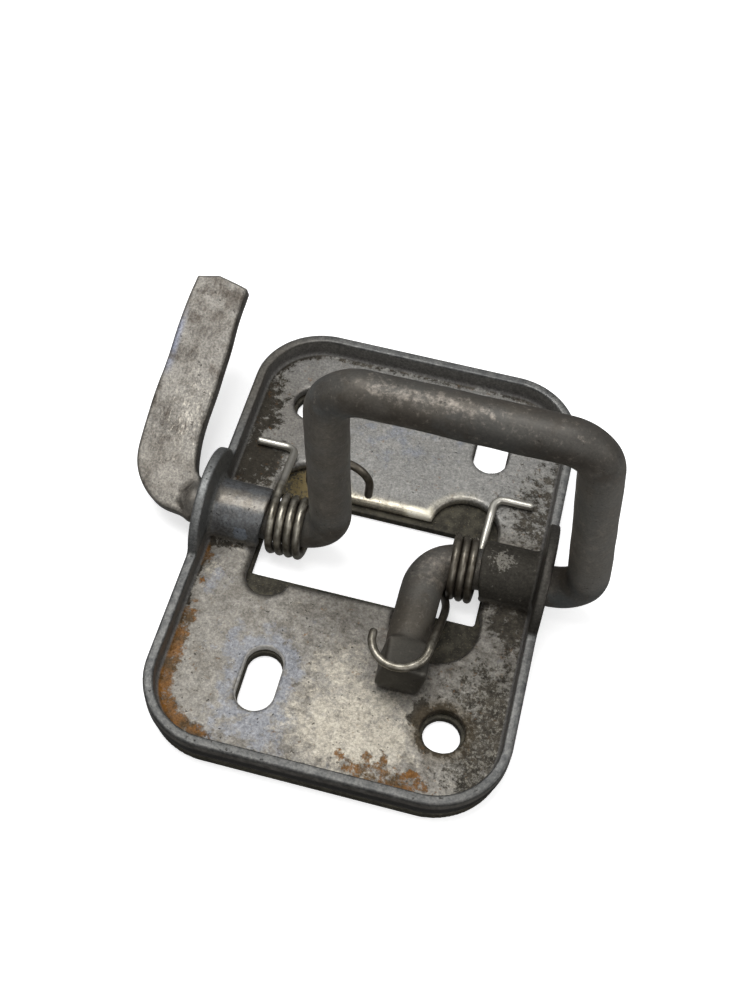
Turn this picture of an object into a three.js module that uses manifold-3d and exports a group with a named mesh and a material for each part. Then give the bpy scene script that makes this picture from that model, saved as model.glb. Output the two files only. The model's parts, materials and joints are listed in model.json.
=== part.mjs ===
// Toggle bolt latch: a pressed steel tray and its flat backing plate carry one bent
// round bar. The bar is a paddle handle at the left end, a catch loop in the middle
// and a short stop arm, and two coil springs hold the stop arm down on the tray.
// Millimetres. X runs along the bar's shaft, Y up the plate, Z out of the plate;
// Z = 0 is the back face that lies on whatever the latch is fixed to. Pieces are drawn
// with X = Y = 0 on the shaft midway between the side walls; the group then moves them
// so that the origin is the centre of the latch's footprint.

import * as THREE from 'three';
import { mergeVertices } from 'three/addons/utils/BufferGeometryUtils.js';
import Module from 'manifold-3d';

const wasm = await Module();
wasm.setup();

// ---- driving dimensions ----
const SHEET = 2.3;              // thickness of both pressed plates
const PLATE_GAP = 0.3;          // running gap left between the two plates
const UNDER = SHEET + PLATE_GAP;
const FLOOR = UNDER + SHEET;    // top of the tray floor

const TRAY_W = 80.9;
const TRAY_L = 115;
const TRAY_Y = -1.1;            // centre of the plates along Y, the shaft being Y = 0
const CORNER_R = 17;
const FOOTPRINT = { x: 3.33, y: 1.1 };   // shaft frame moved onto the footprint's centre
const RIM_H = 4.9;              // rim above the tray floor
const BEND_R = 3;               // outside bend where the rim turns up
const INNER_R = 0.9;            // inside bend at the foot of the rim
const RIM_ROUND = 0.7;          // rolled outer edge along the top of the rim
const BACK_INSET = 0.7;         // backing plate stops this far inside the tray

const ROD_R = 4.75;             // 3/8 in round bar
const AXIS_Z = FLOOR + 2.88;    // shaft centre
const BORE_R = 4.98;            // inside of the bearing humps
const HUMP_R = 7.07;            // outside of the bearing humps
const HUMP_FOOT_R = 2;          // fillet from hump to floor
const HUMP_FLARE = 2.2;         // fillet from hump to side wall
const HUMP_END = { left: 26.8, right: 26.3 };    // hump end at floor level
const HUMP_LEAN = { left: 1.4, right: 1.8 };     // the crown overhangs its foot by this much
const EAR_R = 14.4;             // raised ear round the shaft in each side wall

const WINDOW_X = 27;
const WINDOW_TOP = 11.9;
const WINDOW_BOTTOM = -12.6;
const EDGE_ROLL = 1.3;          // die-rolled top edge of the window
const HOLE_ROLL = 0.6;          // the same round the holes and slots
const BACK_WINDOW = { x: 26.5, top: 11.1, bottom: -11.8 };

const HOLE = { x: 25.1, y: 38.6, front: 4.85, back: 4.15 };
const SLOT = { half: 3.55, front: 4.2, back: 3.95 };
const SLOTS = [{ x: -16.4, y: -38 }, { x: 20.9, y: 36.9 }];

const BEND = 8.5;               // centreline radius of the bar's bends
const LOOP_H = 57.7;            // crossbar centre above the shaft
const LOOP_TILT = -0.036;       // loop leans this much in Y per mm of height
const LEG_LEFT = { foot: -10.4, head: -12.2 };
const LEG_RIGHT = { foot: 49.6, head: 42.9 };
const ARM_X = 13.1;
const ARM_RISE = 0.09;          // stop arm climbs this much per mm of length
const TIP = { x: 13.8, y: -33.4, length: 7.5, width: 9.9, low: 0.35, high: 10.5, chamfer: 1.1 };

const PADDLE_ANGLE = THREE.MathUtils.degToRad(20);
const PADDLE_X = -52.9;
const PADDLE_NECK_X = -42;      // the flattening starts here, just outside the ear
const PADDLE_BEND = 8.7;
const PADDLE_END = 54.2;        // length from the shaft centre to the tip corners
const PADDLE_W = [14.3, 12.5];  // width at heel and tip
const PADDLE_T = [5.4, 4.4];    // thickness at heel and tip

const WIRE_R = 0.95;
const COIL_STEP = 24;           // degrees between points along a coil
const FOOT_BEND = 2.6;          // bend radius where a foot turns outwards
const TAIL_Z = FLOOR + WIRE_R + 0.25;

// Each coil's start on the shaft, travel per turn, radius, how far it hangs towards -Y
// and the degrees it winds through (from +Y towards +Z); then where its foot ends on the
// floor, and the hook that presses on the bar.
const LEFT = { x: -24.3, pitch: 2.15, r: 6.4, sag: 0.4, from: 66, to: 1436 };
const LEFT_FOOT = { x: -35, y: 22.2 };
const LEFT_HOOK = { r: 6.9, rise: 17 };
const RIGHT = { x: 23.85, pitch: 1.98, r: 6.7, sag: 0.8, from: 284, to: -846 };
const RIGHT_FOOT = { x: 33.6, y: 21.3 };
const RIGHT_HOOK = { x: 12.2, y: -27.2, r: 6.3 };

// ---- small helpers ----
const v2 = (x, y) => new THREE.Vector2(x, y);
const v3 = (x, y, z) => new THREE.Vector3(x, y, z);

function arcPoints(cx, cy, r, from, to, n) {
  const points = [];
  for (let i = 0; i <= n; i++) {
    const a = THREE.MathUtils.degToRad(from + (to - from) * i / n);
    points.push(v2(cx + r * Math.cos(a), cy + r * Math.sin(a)));
  }
  return points;
}

function roundedRect(halfW, halfL, r, cy, n) {
  const x = halfW - r;
  const y = halfL - r;
  return [
    ...arcPoints(x, cy + y, r, 0, 90, n),
    ...arcPoints(-x, cy + y, r, 90, 180, n),
    ...arcPoints(-x, cy - y, r, 180, 270, n),
    ...arcPoints(x, cy - y, r, 270, 360, n),
  ];
}

// Moves every point of a counter-clockwise outline along its outward normal.
function grow(outline, amount) {
  const n = outline.length;
  return outline.map((p, i) => {
    const before = outline[(i + n - 1) % n];
    const after = outline[(i + 1) % n];
    const a = v2(p.y - before.y, before.x - p.x).normalize();
    const b = v2(after.y - p.y, p.x - after.x).normalize();
    const m = a.clone().add(b).normalize();
    return p.clone().addScaledVector(m, amount / Math.max(0.5, m.dot(a)));
  });
}

// Closed skin over a stack of rings with equal point counts; the end rings are capped
// with the triangles of the given flat outline.
function loft(rings, capOutline) {
  const n = rings[0].length;
  const positions = rings.flat().flatMap((p) => [p.x, p.y, p.z]);
  const faces = THREE.ShapeUtils.triangulateShape(capOutline, []);
  const last = (rings.length - 1) * n;
  const index = [];
  for (let r = 0; r < rings.length - 1; r++) {
    for (let i = 0; i < n; i++) {
      const j = (i + 1) % n;
      const a = r * n + i;
      const b = r * n + j;
      index.push(a, b, b + n, a, b + n, a + n);
    }
  }
  for (const [a, b, c] of faces) {
    index.push(c, b, a, last + a, last + b, last + c);
  }
  const geometry = new THREE.BufferGeometry();
  geometry.setAttribute('position', new THREE.Float32BufferAttribute(positions, 3));
  geometry.setIndex(index);
  return geometry;
}

// Stack of flat outlines: [outline, z] pairs from the bottom up.
function stack(levels) {
  const rings = levels.map(([outline, z]) => outline.map((p) => v3(p.x, p.y, z)));
  return loft(rings, levels[0][0]);
}

function toSolid(geometry) {
  const bare = geometry.clone();
  bare.deleteAttribute('normal');
  bare.deleteAttribute('uv');
  const merged = mergeVertices(bare, 1e-5);
  return new wasm.Manifold(new wasm.Mesh({
    numProp: 3,
    vertProperties: Float32Array.from(merged.attributes.position.array),
    triVerts: Uint32Array.from(merged.index.array),
  }));
}

function toGeometry(solid) {
  const mesh = solid.getMesh();
  const geometry = new THREE.BufferGeometry();
  geometry.setAttribute('position', new THREE.Float32BufferAttribute(mesh.vertProperties, 3));
  geometry.setIndex(Array.from(mesh.triVerts));
  geometry.computeVertexNormals();
  return geometry;
}

function makeMesh(name, geometry, color, roughness, metalness) {
  const material = new THREE.MeshStandardMaterial({ color, roughness, metalness });
  material.name = name;
  const mesh = new THREE.Mesh(geometry, material);
  mesh.name = name;
  return mesh;
}

// ---- pressed plates ----
// Window outline, counter-clockwise from the lower left scallop: straight ends at the
// humps and a round scallop in each corner that clears the springs and the stop arm.
function windowOutline() {
  return [
    ...arcPoints(-22, WINDOW_BOTTOM, 5, 180, 350, 12),
    ...arcPoints(18, -14.5, 9.7, 172, 357, 16),
    v2(WINDOW_X + 0.6, -12),
    v2(WINDOW_X, -9),
    ...arcPoints(19, WINDOW_TOP, 8, 0, 176, 14),
    ...arcPoints(-19, WINDOW_TOP, 8, 4, 180, 14),
  ];
}

// Cutter through the tray floor whose mouth follows a rolled edge.
function rolledCut(outline, roll) {
  const levels = [[outline, UNDER - 1]];
  const steps = 3;
  for (let i = 0; i <= steps; i++) {
    const a = i / steps * Math.PI / 2;
    levels.push([grow(outline, roll * (1 - Math.cos(a))), FLOOR - roll + roll * Math.sin(a)]);
  }
  levels.push([grow(outline, roll), FLOOR + 0.6]);
  return toSolid(stack(levels));
}

function straightCut(outline, low, high) {
  return toSolid(stack([[outline, low], [outline, high]]));
}

const circleOutline = (x, y, r) => arcPoints(x, y, r, 0, 345, 23);

function slotOutline(x, y, r) {
  return [
    ...arcPoints(x, y + SLOT.half, r, 0, 180, 12),
    ...arcPoints(x, y - SLOT.half, r, 180, 360, 12),
  ];
}

// Section of a bearing hump across the shaft: crown, foot fillets and a root that is
// buried in the floor. Points carry Y and Z.
function humpSection(r) {
  const drop = AXIS_Z - FLOOR - HUMP_FOOT_R;
  const footY = Math.sqrt((r + HUMP_FOOT_R) ** 2 - drop ** 2);
  const meet = -THREE.MathUtils.radToDeg(Math.asin(drop / (r + HUMP_FOOT_R)));
  const z = FLOOR + HUMP_FOOT_R - 0.02;
  return [
    v2(-footY, FLOOR - 1.2),
    v2(footY, FLOOR - 1.2),
    ...arcPoints(footY, z, HUMP_FOOT_R, 270, 180 + meet, 5),
    ...arcPoints(0, AXIS_Z - 0.02, r, meet, 180 - meet, 26).slice(1, -1),
    ...arcPoints(-footY, z, HUMP_FOOT_R, -meet, -90, 5),
  ];
}

// One hump, built on the right and mirrored with side = -1.
function humpSolid(side) {
  const wall = TRAY_W / 2 - SHEET;
  const name = side < 0 ? 'left' : 'right';
  const stations = [
    [HUMP_END[name], HUMP_R, HUMP_LEAN[name]],
    [wall - HUMP_FLARE, HUMP_R, 0],
  ];
  for (let i = 1; i <= 4; i++) {
    const a = i / 4 * Math.PI / 2;
    const x = wall - HUMP_FLARE + HUMP_FLARE * Math.sin(a);
    stations.push([x, HUMP_R + HUMP_FLARE * (1 - Math.cos(a)), 0]);
  }
  stations.push([wall + 1, HUMP_R + HUMP_FLARE, 0]);
  const rings = stations.map(([x, r, lean]) => humpSection(r).map((p) => {
    const overhang = lean * (p.y - FLOOR) / (HUMP_R + AXIS_Z - FLOOR);
    return v3(side * (x - overhang), p.x, p.y);
  }));
  if (side < 0) {
    rings.reverse();
  }
  return toSolid(loft(rings, humpSection(HUMP_R)));
}

// Extrudes a Y-Z outline along X between two stations.
function alongX(outline, x0, x1) {
  return toSolid(loft([x0, x1].map((x) => outline.map((p) => v3(x, p.x, p.y))), outline));
}

function earSolid(side) {
  const outer = side * TRAY_W / 2;
  const inner = side * (TRAY_W / 2 - SHEET);
  const low = -THREE.MathUtils.radToDeg(Math.asin(2 / EAR_R));
  const shape = arcPoints(TRAY_Y * 0.5, AXIS_Z, EAR_R, low, 180 - low, 28);
  return alongX(shape, Math.min(outer, inner), Math.max(outer, inner));
}

// Channel the shaft lies in: round over the top and open towards the backing plate.
function channelCut(side) {
  const section = [
    v2(-BORE_R, UNDER - 1),
    v2(BORE_R, UNDER - 1),
    ...arcPoints(0, AXIS_Z, BORE_R, 0, 180, 24),
  ];
  const ends = [side * 24, side * (TRAY_W / 2 + 2)].sort((a, b) => a - b);
  return alongX(section, ends[0], ends[1]);
}

function frontPlate() {
  const outerLevels = [];
  for (let i = 0; i <= 5; i++) {
    const a = i / 5 * Math.PI / 2;
    const inset = BEND_R * (1 - Math.sin(a));
    outerLevels.push([
      roundedRect(TRAY_W / 2 - inset, TRAY_L / 2 - inset, CORNER_R - inset, TRAY_Y, 12),
      UNDER + BEND_R * (1 - Math.cos(a)),
    ]);
  }
  for (let i = 0; i <= 3; i++) {
    const a = i / 3 * Math.PI / 2;
    const inset = RIM_ROUND * (1 - Math.cos(a));
    outerLevels.push([
      roundedRect(TRAY_W / 2 - inset, TRAY_L / 2 - inset, CORNER_R - inset, TRAY_Y, 12),
      FLOOR + RIM_H - RIM_ROUND + RIM_ROUND * Math.sin(a),
    ]);
  }
  const innerLevels = [];
  for (let i = 0; i <= 3; i++) {
    const a = i / 3 * Math.PI / 2;
    const inset = SHEET + INNER_R * (1 - Math.sin(a));
    innerLevels.push([
      roundedRect(TRAY_W / 2 - inset, TRAY_L / 2 - inset, CORNER_R - inset, TRAY_Y, 12),
      FLOOR + INNER_R * (1 - Math.cos(a)),
    ]);
  }
  innerLevels.push([
    roundedRect(TRAY_W / 2 - SHEET, TRAY_L / 2 - SHEET, CORNER_R - SHEET, TRAY_Y, 12),
    FLOOR + RIM_H + 1,
  ]);
  let plate = toSolid(stack(outerLevels)).subtract(toSolid(stack(innerLevels)));
  for (const side of [-1, 1]) {
    plate = plate.add(earSolid(side)).add(humpSolid(side));
  }
  plate = plate.subtract(rolledCut(windowOutline(), EDGE_ROLL));
  for (const side of [-1, 1]) {
    plate = plate.subtract(channelCut(side));
    const hole = circleOutline(side * HOLE.x, TRAY_Y - side * HOLE.y, HOLE.front);
    plate = plate.subtract(rolledCut(hole, HOLE_ROLL));
  }
  for (const slot of SLOTS) {
    plate = plate.subtract(rolledCut(slotOutline(slot.x, slot.y, SLOT.front), HOLE_ROLL));
  }
  return toGeometry(plate);
}

function backPlate() {
  const w = TRAY_W / 2 - BACK_INSET;
  const l = TRAY_L / 2 - BACK_INSET;
  const blank = roundedRect(w, l, CORNER_R - BACK_INSET, TRAY_Y, 12);
  const window = [
    v2(-BACK_WINDOW.x, BACK_WINDOW.bottom),
    v2(BACK_WINDOW.x, BACK_WINDOW.bottom),
    v2(BACK_WINDOW.x, BACK_WINDOW.top),
    v2(-BACK_WINDOW.x, BACK_WINDOW.top),
  ];
  let plate = straightCut(blank, 0, SHEET).subtract(straightCut(window, -1, SHEET + 1));
  for (const side of [-1, 1]) {
    const hole = circleOutline(side * HOLE.x, TRAY_Y - side * HOLE.y, HOLE.back);
    plate = plate.subtract(straightCut(hole, -1, SHEET + 1));
  }
  for (const slot of SLOTS) {
    plate = plate.subtract(straightCut(slotOutline(slot.x, slot.y, SLOT.back), -1, SHEET + 1));
  }
  return toGeometry(plate);
}

// ---- bent bar ----
// Points along a polyline whose inner corners are rounded to the given radii.
function roundedPath(corners, radii, spacing, turn) {
  const points = [corners[0].clone()];
  const straight = (to) => {
    const from = points[points.length - 1];
    const steps = Math.max(1, Math.round(from.distanceTo(to) / spacing));
    for (let i = 1; i <= steps; i++) {
      points.push(from.clone().lerp(to, i / steps));
    }
  };
  for (let i = 1; i < corners.length - 1; i++) {
    const into = corners[i - 1].clone().sub(corners[i]).normalize();
    const out = corners[i + 1].clone().sub(corners[i]).normalize();
    const half = into.angleTo(out) / 2;
    const setback = radii[i - 1] / Math.tan(half);
    const start = corners[i].clone().addScaledVector(into, setback);
    const toCentre = into.clone().add(out).normalize();
    const centre = corners[i].clone().addScaledVector(toCentre, radii[i - 1] / Math.sin(half));
    const spin = into.clone().cross(out).normalize();
    const sweep = Math.PI - 2 * half;
    const steps = Math.max(2, Math.round(THREE.MathUtils.radToDeg(sweep) / turn));
    straight(start);
    for (let s = 1; s <= steps; s++) {
      const arm = start.clone().sub(centre).applyAxisAngle(spin, -sweep * s / steps);
      points.push(centre.clone().add(arm));
    }
  }
  straight(corners[corners.length - 1]);
  return points;
}

// Directions along a list of points.
function tangents(points) {
  return points.map((p, i) => {
    const a = points[Math.max(0, i - 1)];
    const b = points[Math.min(points.length - 1, i + 1)];
    return b.clone().sub(a).normalize();
  });
}

// Skin swept along points. size(i) returns half width, half height and squareness of
// the section; the first section's height direction is given, later ones follow it.
function sweep(points, firstUp, sides, size) {
  const along = tangents(points);
  let up = firstUp.clone();
  const rings = points.map((p, i) => {
    up.addScaledVector(along[i], -up.dot(along[i])).normalize();
    const across = up.clone().cross(along[i]);
    const [halfW, halfH, square] = size(i);
    const ring = [];
    for (let k = 0; k < sides; k++) {
      const a = k / sides * Math.PI * 2;
      const c = Math.cos(a);
      const s = Math.sin(a);
      const w = halfW * Math.sign(c) * Math.abs(c) ** (2 / square);
      const h = halfH * Math.sign(s) * Math.abs(s) ** (2 / square);
      ring.push(p.clone().addScaledVector(across, w).addScaledVector(up, h));
    }
    return ring;
  });
  return loft(rings, arcPoints(0, 0, 1, 0, 360 - 360 / sides, sides - 1));
}

function bentBar() {
  const up = v3(0, -Math.sin(PADDLE_ANGLE), Math.cos(PADDLE_ANGLE));
  const paddle = (x, s) => v3(x, s * Math.cos(PADDLE_ANGLE), AXIS_Z + s * Math.sin(PADDLE_ANGLE));
  const headY = LOOP_TILT * LOOP_H;
  const armLength = -TIP.y - 2;
  const neck = v3(PADDLE_NECK_X, 0, AXIS_Z);
  const paddlePath = roundedPath([
    paddle(PADDLE_X, PADDLE_END),
    v3(PADDLE_X, 0, AXIS_Z),
    neck,
  ], [PADDLE_BEND], 9, 12);
  const loopPath = roundedPath([
    neck,
    v3(LEG_LEFT.foot, 0, AXIS_Z),
    v3(LEG_LEFT.head, headY, AXIS_Z + LOOP_H),
    v3(LEG_RIGHT.head, headY, AXIS_Z + LOOP_H),
    v3(LEG_RIGHT.foot, 0, AXIS_Z),
    v3(ARM_X, 0, AXIS_Z),
    v3(ARM_X, -armLength, AXIS_Z + armLength * ARM_RISE),
  ], [BEND, BEND, BEND, BEND, BEND], 9, 12);
  const points = [
    paddle(PADDLE_X, PADDLE_END + 1.3),
    paddle(PADDLE_X, PADDLE_END + 0.9),
    ...paddlePath,
    ...loopPath.slice(1),
  ];

  // The end of the bar is forged flat between the neck and the paddle's blade.
  const tipScale = [[0.78, 0.6], [0.95, 0.95]];
  const size = (i) => {
    const p = points[i];
    const flat = THREE.MathUtils.smoothstep(-p.x, -PADDLE_NECK_X, 47.4);
    const wide = THREE.MathUtils.smoothstep(-p.x, -PADDLE_NECK_X, 51.5);
    const t = THREE.MathUtils.clamp(p.y / (PADDLE_END * Math.cos(PADDLE_ANGLE)), 0, 1);
    const w = THREE.MathUtils.lerp(PADDLE_W[0], PADDLE_W[1], t) / 2;
    const h = THREE.MathUtils.lerp(PADDLE_T[0], PADDLE_T[1], t) / 2;
    const [endW, endH] = tipScale[i] ?? [1, 1];
    return [
      THREE.MathUtils.lerp(ROD_R, w, wide) * endW,
      THREE.MathUtils.lerp(ROD_R, h, flat) * endH,
      THREE.MathUtils.lerp(2, 4.5, flat),
    ];
  };
  const bar = toSolid(sweep(points, up, 24, size));
  return toGeometry(bar.add(tipBlock()));
}

// Squared, upset end of the stop arm that stands on the tray floor.
function tipBlock() {
  const c = TIP.chamfer;
  const low = FLOOR + TIP.low;
  const high = FLOOR + TIP.high;
  const section = (inset) => [
    v2(TIP.x - TIP.width / 2 + c, low + inset),
    v2(TIP.x + TIP.width / 2 - c, low + inset),
    v2(TIP.x + TIP.width / 2 - inset, low + c),
    v2(TIP.x + TIP.width / 2 - inset, high - c),
    v2(TIP.x + TIP.width / 2 - c, high - inset),
    v2(TIP.x - TIP.width / 2 + c, high - inset),
    v2(TIP.x - TIP.width / 2 + inset, high - c),
    v2(TIP.x - TIP.width / 2 + inset, low + c),
  ];
  const levels = [
    [section(0.7), TIP.y + TIP.length],
    [section(0), TIP.y + TIP.length - 1.6],
    [section(0), TIP.y + 0.6],
    [section(0.6), TIP.y],
  ];
  return toSolid(loft(levels.map(([s, y]) => s.map((p) => v3(p.x, y, p.y))), section(0)));
}

// ---- springs ----
// Points along a coil; the last one is where its hook begins.
function coilPoints(coil) {
  const points = [];
  const n = Math.round(Math.abs(coil.to - coil.from) / COIL_STEP);
  for (let i = 0; i <= n; i++) {
    const turned = (coil.to - coil.from) * i / n;
    const a = THREE.MathUtils.degToRad(coil.from + turned);
    const x = coil.x + coil.pitch * turned / 360;
    points.push(v3(x, coil.r * Math.cos(a) - coil.sag, AXIS_Z + coil.r * Math.sin(a)));
  }
  return points;
}

function wire(points) {
  const path = new THREE.CatmullRomCurve3(points, false, 'centripetal');
  path.arcLengthDivisions = 1200;
  const section = new THREE.Shape(arcPoints(0, 0, WIRE_R, 0, 324, 9));
  const steps = Math.round(path.getLength() / (2 * WIRE_R));
  return new THREE.ExtrudeGeometry(section, { steps, extrudePath: path });
}

// Left spring: the foot lies on the floor and turns outwards, the wire comes in over
// the top of the shaft, and the hook climbs behind the left leg and over its back.
function leftSpring() {
  const foot = roundedPath([
    v3(LEFT_FOOT.x, LEFT_FOOT.y, TAIL_Z),
    v3(LEFT.x - 1.1, LEFT_FOOT.y, TAIL_Z),
    v3(LEFT.x, LEFT.r - LEFT.sag - 1.2, AXIS_Z + LEFT.r * 0.93),
  ], [FOOT_BEND], 6, 18).slice(0, -1);
  const coil = coilPoints(LEFT);
  const behind = LEFT.r - LEFT.sag + 0.15;
  const hook = [
    v3(coil.at(-1).x + 0.15, behind, AXIS_Z + 5),
    v3(LEG_LEFT.foot - LEFT_HOOK.r, behind, FLOOR + 13),
  ];
  for (const p of arcPoints(LEG_LEFT.foot, FLOOR + LEFT_HOOK.rise, LEFT_HOOK.r, 180, 0, 12)) {
    hook.push(v3(p.x, behind, p.y));
  }
  hook.push(v3(LEG_LEFT.foot + LEFT_HOOK.r - 0.1, behind - 0.2, FLOOR + 13));
  return wire([...foot, ...coil, ...hook]);
}

// Right spring: the same winding turned round. The foot rises from under the shaft,
// and the hook runs up beside the stop arm and across its top.
function rightSpring() {
  const foot = roundedPath([
    v3(RIGHT_FOOT.x, RIGHT_FOOT.y, TAIL_Z),
    v3(RIGHT.x + 0.6, RIGHT_FOOT.y, TAIL_Z),
    v3(RIGHT.x + 0.4, RIGHT_FOOT.y - 5, TAIL_Z + 0.15),
    v3(RIGHT.x, RIGHT.r / 2 - RIGHT.sag, AXIS_Z - RIGHT.r * 0.93),
  ], [FOOT_BEND, 5], 6, 18).slice(0, -1);
  const over = FLOOR + TIP.high + WIRE_R + 0.35;
  const beside = TIP.x + TIP.width / 2 + 0.55;
  const hook = [
    v3(beside - 0.6, -7.8, AXIS_Z - 4),
    v3(beside, -11, AXIS_Z - 1.6),
    v3(beside, -17, AXIS_Z + 3),
  ];
  for (const p of arcPoints(RIGHT_HOOK.x, RIGHT_HOOK.y, RIGHT_HOOK.r, 0, -180, 12)) {
    hook.push(v3(p.x, p.y, over));
  }
  hook.push(v3(RIGHT_HOOK.x - RIGHT_HOOK.r, RIGHT_HOOK.y + 1, over - 0.2));
  return wire([...foot, ...coilPoints(RIGHT), ...hook]);
}

const latch = new THREE.Group();
latch.name = 'toggle_bolt_latch';
latch.add(
  makeMesh('front_plate', frontPlate(), 0x8d8a84, 0.5, 0.85),
  makeMesh('back_plate', backPlate(), 0x4c4a42, 0.7, 0.7),
  makeMesh('toggle_bar', bentBar(), 0x4f4b47, 0.5, 0.8),
  makeMesh('left_spring', leftSpring(), 0xa09a8e, 0.35, 0.95),
  makeMesh('right_spring', rightSpring(), 0x8f887c, 0.35, 0.95),
);

latch.position.set(FOOTPRINT.x, FOOTPRINT.y, 0);

export default latch;
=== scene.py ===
# Toggle bolt latch: fine visual meshes, procedural worn-steel finishes, floor, light and
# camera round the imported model. Lengths are millimetres in the shaft's own frame, with
# X = Y = 0 on the shaft midway between the side walls, until a mesh is made.
import json
import math

import bpy
import numpy as np
from mathutils import Euler, Matrix, Vector


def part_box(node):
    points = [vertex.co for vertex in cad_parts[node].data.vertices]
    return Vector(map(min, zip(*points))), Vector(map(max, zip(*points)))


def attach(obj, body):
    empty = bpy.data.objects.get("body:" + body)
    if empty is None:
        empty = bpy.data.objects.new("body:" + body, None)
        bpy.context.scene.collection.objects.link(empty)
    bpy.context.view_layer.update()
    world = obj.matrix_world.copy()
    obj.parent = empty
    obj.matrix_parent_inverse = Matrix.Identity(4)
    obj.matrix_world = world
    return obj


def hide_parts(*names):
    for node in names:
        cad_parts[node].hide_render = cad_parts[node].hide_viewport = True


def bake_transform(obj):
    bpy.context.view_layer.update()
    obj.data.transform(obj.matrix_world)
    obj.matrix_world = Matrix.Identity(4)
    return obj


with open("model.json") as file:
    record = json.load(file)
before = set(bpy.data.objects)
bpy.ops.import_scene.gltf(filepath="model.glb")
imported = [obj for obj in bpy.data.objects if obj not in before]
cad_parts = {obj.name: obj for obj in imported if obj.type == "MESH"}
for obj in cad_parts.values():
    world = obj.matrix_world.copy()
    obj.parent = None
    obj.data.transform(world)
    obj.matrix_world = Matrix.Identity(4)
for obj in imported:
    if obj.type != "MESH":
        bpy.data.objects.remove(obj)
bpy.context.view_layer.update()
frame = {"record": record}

MM = 0.001


def box_mm(node):
    return [np.array(corner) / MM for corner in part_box(node)]


# ---- sizes read from the frame ----
HINGE = frame["record"]["behaviour"]["joints"][0]
SHAFT = np.array(HINGE["pos_m"]) / MM
OFFSET = np.array([SHAFT[0], SHAFT[1], 0.0])
AXIS_Z = SHAFT[2]

TRAY_LOW, TRAY_HIGH = box_mm("front_plate")
BACK_LOW, BACK_HIGH = box_mm("back_plate")
BAR_HIGH = box_mm("toggle_bar")[1]
TRAY_W = TRAY_HIGH[0] - TRAY_LOW[0]
TRAY_L = TRAY_HIGH[1] - TRAY_LOW[1]
TRAY_Y = (TRAY_HIGH[1] + TRAY_LOW[1]) / 2 - SHAFT[1]
SHEET = BACK_HIGH[2]
UNDER = TRAY_LOW[2]
FLOOR = UNDER + SHEET
EAR_R = TRAY_HIGH[2] - AXIS_Z
BACK_INSET = BACK_LOW[0] - TRAY_LOW[0]

# ---- sizes of the pressing ----
CORNER_R = 17
RIM_TOP = FLOOR + 4.9
BEND_R = 3
BORE_R = 4.98
HUMP_R = 7.07
HUMP_FOOT_R = 2.0
HUMP_END = {"left": 26.8, "right": 26.3}
HUMP_LEAN = {"left": 1.4, "right": 1.8}
EAR_Y = TRAY_Y * 0.5
EDGE_ROLL = 1.3
HOLE_ROLL = 0.6
HOLES = [(25.1, TRAY_Y - 38.6), (-25.1, TRAY_Y + 38.6)]
HOLE_R = {"front": 4.85, "back": 4.15}
SLOTS = [(-16.4, -38.0), (20.9, 36.9)]
SLOT_HALF = 3.55
SLOT_R = {"front": 4.2, "back": 3.95}
BACK_WINDOW = {"x": 26.5, "top": 11.1, "bottom": -11.8}
CRADLE_START = 24
FLOOR_WAVE = 0.07
PRESS_DEPTH = 0.6
EDGE = {"ear": 0.9, "rim": 0.55, "pocket": 0.9, "wall": 0.35, "hump": 0.5,
        "cradle": 0.25, "opening": 0.15, "back": 0.3}
STEP = 0.42

# ---- sizes of the bar and the springs ----
ROD_R = 4.75
BEND = 8.5
LOOP_H = BAR_HIGH[2] - ROD_R - AXIS_Z
LOOP_TILT = -0.036
LEG_LEFT = (-10.4, -12.2)
LEG_RIGHT = (49.6, 42.9)
ARM_X = 13.1
ARM_RISE = 0.09
TIP = {"x": 13.8, "y": -33.4, "length": 7.5, "width": 9.9, "low": 0.35, "high": 10.5}
ROD_START = -36.6
ARM_DROP_R = 20
BAR_STEP = 0.45
BAR_SIDES = 64
UPSET = {"reach": 1.2, "blend": 1.6, "square": 7}
END_ROUND = {"start": 0.9, "tip": 0.7}
SEAT = 0.28

# The handle's flat blade seen square on: across it (X) and along it from the shaft.
PADDLE_ANGLE = math.radians(20)
PADDLE_END = 54.2
PADDLE_T = (5.4, 4.4)
PADDLE_EDGE = 0.7
BLADE_SIDES = [
    (-45.3, 53.6), (-45.6, 46.0), (-45.6, 38.5), (-45.8, 28.0), (-46.1, 19.5), (-46.1, 13.6),
    (-45.4, 8.8), (-44.6, 6.6), (-43.4, 5.6), (-43.4, -4.4), (-46.5, -3.8), (-50.4, -3.2),
    (-53.3, -1.9), (-56.2, 0.7), (-58.4, 4.0), (-59.5, 7.4), (-59.9, 14.0), (-59.7, 25.5),
    (-59.3, 35.9), (-58.9, 46.6), (-58.1, 54.3),
]
BLADE_TIP = (-52.8, 55.5)
BLADE_STEP = 0.3
BLADE_FADE = (43.2, 45.6)
STUB = {"thin": -47.4, "round": -43.4, "end": -35.4, "r": 2.3}

WIRE_R = 0.95
WIRE_END = 0.82
WIRE_STEP = 0.4
WIRE_SIDES = 16
TAIL_Z = FLOOR + WIRE_R + 0.25
LEFT = {"x": -24.3, "pitch": 2.15, "r": 6.4, "sag": 0.4, "from": 66, "to": 1436}
LEFT_FOOT = (-35.0, 22.2)
LEFT_HOOK = {"r": 6.9, "rise": 17.0}
RIGHT = {"x": 23.85, "pitch": 1.98, "r": 6.7, "sag": 0.8, "from": 284, "to": -846}
RIGHT_FOOT = (33.6, 21.3)
RIGHT_HOOK = {"x": 12.2, "y": -27.2, "r": 6.3}


# ---- distance fields ----
def join(a, b, r):
    """Union of two distance fields with a fillet."""
    return np.maximum(r, np.minimum(a, b)) - np.hypot(np.maximum(r - a, 0), np.maximum(r - b, 0))


def cut(a, b, r):
    """Intersection of two distance fields with a rounded edge."""
    return -join(-a, -b, r)


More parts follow.
